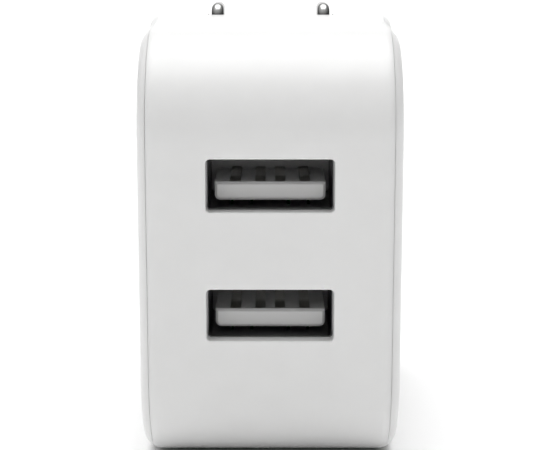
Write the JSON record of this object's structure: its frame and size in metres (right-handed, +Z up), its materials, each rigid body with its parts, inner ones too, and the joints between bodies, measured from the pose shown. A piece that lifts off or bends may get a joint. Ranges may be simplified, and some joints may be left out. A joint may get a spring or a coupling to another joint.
{
  "type": "usb wall charger",
  "caption": "Compact white mains charger with stacked USB type A ports on the front and a plug that folds into the back.",
  "frame": {"origin": "middle of the footprint, on the surface that the charger stands on", "axes": "+Z up, the USB face looks along -Y, X across the width"},
  "size_m": [0.03, 0.044, 0.0461],
  "materials": {
    "casing_white": "polished white ABS and polycarbonate",
    "inner_white": "as moulded white plastic",
    "blade_nickel": "nickel plated brass, drawn",
    "pin_steel": "bright steel",
    "spring_bronze": "phosphor bronze strip",
    "port_steel": "stamped, nickel plated",
    "tongue_plastic": "moulded pale grey thermoplastic",
    "contact_plating": "gold flashed",
    "board_green": "solder mask over glass epoxy",
    "ferrite": "sintered ferrite",
    "bobbin_black": "moulded phenolic",
    "winding_copper": "enamelled copper wire",
    "tape_yellow": "polyester tape",
    "can_sleeve": "shrink sleeve on an aluminium can",
    "inductor_body": "ferrite drum in shrink sleeve",
    "resistor_body": "flameproof coating",
    "disc_blue": "epoxy coated ceramic disc",
    "package_black": "moulded epoxy with tinned legs",
    "chip_body": "ceramic chip"
  },
  "bodies": {
    "housing": {"bridge_rectifier": "package_black", "chip_resistors": "chip_body", "controller_chip": "package_black", "detent_spring": "spring_bronze", "filter_inductor": "inductor_body", "front_cover": "casing_white", "fuse_resistor": "resistor_body", "input_capacitor_1": "can_sleeve", "input_capacitor_2": "can_sleeve", "left_contact_spring": "spring_bronze", "lower_usb_contacts": "contact_plating", "lower_usb_shell": "port_steel", "lower_usb_tongue": "tongue_plastic", "main_board": "board_green", "output_capacitor_1": "can_sleeve", "output_capacitor_2": "can_sleeve", "output_diode": "package_black", "pivot_retainer": "inner_white", "power_transistor": "package_black", "rear_housing": "casing_white", "right_contact_spring": "spring_bronze", "safety_capacitor": "disc_blue", "transformer_bobbin": "bobbin_black", "transformer_core": "ferrite", "transformer_tape": "tape_yellow", "transformer_winding": "winding_copper", "upper_usb_contacts": "contact_plating", "upper_usb_shell": "port_steel", "upper_usb_tongue": "tongue_plastic"},
    "plug": {"plug_carrier": "casing_white", "left_blade": "blade_nickel", "right_blade": "blade_nickel", "pivot_pin": "pin_steel"}
  },
  "joints": [
    {"name": "plug_fold", "type": "hinge", "parent": "housing", "child": "plug", "pos_m": [0, 0.017, 0.024], "axis": [-1, 0, 0], "range_deg": [0, 90]}
  ]
}
